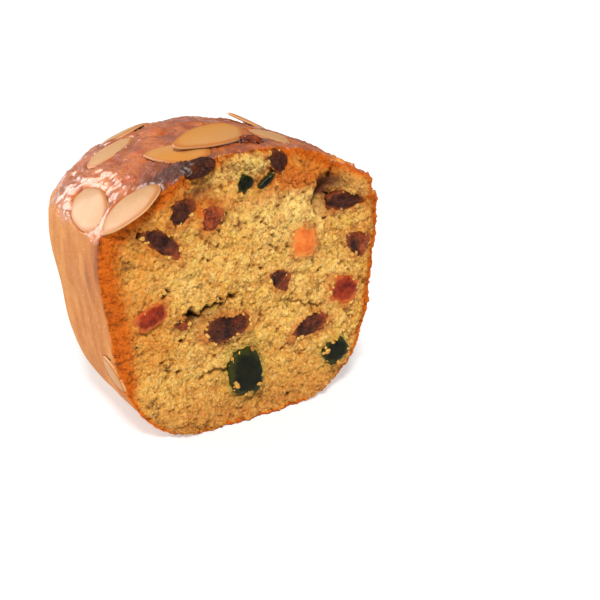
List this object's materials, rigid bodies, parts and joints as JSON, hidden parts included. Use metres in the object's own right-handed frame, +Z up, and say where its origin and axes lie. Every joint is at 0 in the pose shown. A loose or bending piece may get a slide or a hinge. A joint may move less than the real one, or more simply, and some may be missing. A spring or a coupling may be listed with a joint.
{
  "type": "half of a fruit cake loaf",
  "caption": "Half of a small golden fruit cake loaf with raisins and candied fruit in the cut face and a glazed top with almond flakes, standing on its flat base.",
  "frame": {"origin": "on the flat base, 30 mm behind the cut face, midway between the side walls", "axes": "+Z up out of the base, -Y out of the cut face, +X across the loaf"},
  "size_m": [0.0859, 0.0722, 0.0807],
  "materials": {
    "cake": "porous yellow crumb inside a tan to reddish-brown baked and glazed crust",
    "almond": "pale satin almond slice with thin brown rim",
    "raisin": "moist dark wrinkled dried fruit",
    "red_fruit": "translucent candied cherry",
    "orange_fruit": "translucent candied orange peel",
    "green_fruit": "translucent dark green candied fruit"
  },
  "bodies": {
    "root": {"cake_body": "cake", "almond_flake_1": "almond", "almond_flake_2": "almond", "almond_flake_3": "almond", "almond_flake_4": "almond", "almond_flake_5": "almond", "almond_flake_6": "almond", "almond_flake_7": "almond", "almond_flake_8": "almond", "almond_flake_9": "almond", "almond_flake_10": "almond", "almond_flake_11": "almond", "raisin_1": "raisin", "raisin_2": "raisin", "raisin_3": "raisin", "raisin_4": "raisin", "raisin_5": "raisin", "raisin_6": "raisin", "raisin_7": "raisin", "raisin_8": "raisin", "raisin_9": "raisin", "raisin_10": "raisin", "raisin_11": "raisin", "raisin_12": "raisin", "cherry_piece_1": "red_fruit", "cherry_piece_2": "red_fruit", "orange_piece_1": "orange_fruit", "green_piece_1": "green_fruit", "green_piece_2": "green_fruit", "green_piece_3": "green_fruit", "green_piece_4": "green_fruit"}
  },
  "joints": []
}
